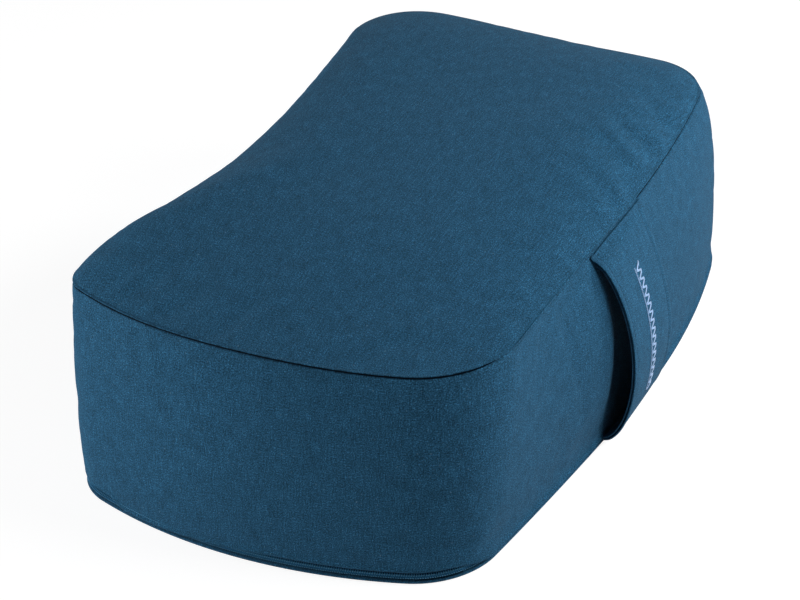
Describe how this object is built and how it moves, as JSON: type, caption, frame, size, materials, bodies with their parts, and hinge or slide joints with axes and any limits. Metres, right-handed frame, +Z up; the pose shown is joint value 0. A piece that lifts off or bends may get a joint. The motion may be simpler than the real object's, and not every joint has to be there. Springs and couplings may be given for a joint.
{
  "type": "kneeling meditation cushion",
  "caption": "Waisted floor cushion with a removable sewn cover, a coil zip round one end, a bowed carry strap on one side and a husk-filled inner bag.",
  "frame": {"origin": "on the floor, under the middle of the base panel's length", "axes": "+Z up, +Y along the cushion away from the zipped end, +X out through the carry strap's side"},
  "size_m": [0.3176, 0.466, 0.18],
  "materials": {
    "canvas": "petrol blue cotton canvas, plain weave with fine slubs",
    "sewing_thread": "matching polyester sewing thread",
    "ornament_thread": "pale blue satin thread",
    "zip_tape": "woven polyester zip tape",
    "zip_coil": "nylon coil",
    "zip_metal": "nickel-plated zinc",
    "liner_cotton": "undyed cotton",
    "husks": "loose buckwheat husks"
  },
  "bodies": {
    "cushion": {"cover_top_panel": "canvas", "cover_side_band": "canvas", "cover_base_panel": "canvas", "top_seam_thread": "sewing_thread", "base_seam_thread": "sewing_thread", "zip_tape_band_side": "zip_tape", "zip_tape_base_side": "zip_tape", "zip_coil_band_side": "zip_coil", "zip_coil_base_side": "zip_coil", "zip_stop_closed_end": "zip_metal", "zip_stop_open_end": "zip_metal", "strap_outer": "canvas", "strap_lining": "canvas", "strap_topstitch_near": "sewing_thread", "strap_topstitch_far": "sewing_thread", "strap_ornament_stitch": "ornament_thread", "liner_top_panel": "liner_cotton", "liner_side_band": "liner_cotton", "liner_base_panel": "liner_cotton", "husk_filling": "husks"},
    "zip_slider": {"zip_slider": "zip_metal"},
    "zip_pull_tab": {"zip_pull_tab": "zip_metal"}
  },
  "joints": [
    {"name": "slider_travel", "type": "hinge", "parent": "cushion", "child": "zip_slider", "pos_m": [-0.096, -0.17159, 0.0048], "axis": [0, 0, 1], "range_deg": [0, 63]},
    {"name": "pull_tab_swing", "type": "hinge", "parent": "zip_slider", "child": "zip_pull_tab", "pos_m": [-0.14225, -0.17131, 0.0048], "axis": [0, 0, 1], "range_deg": [0, 170]}
  ]
}
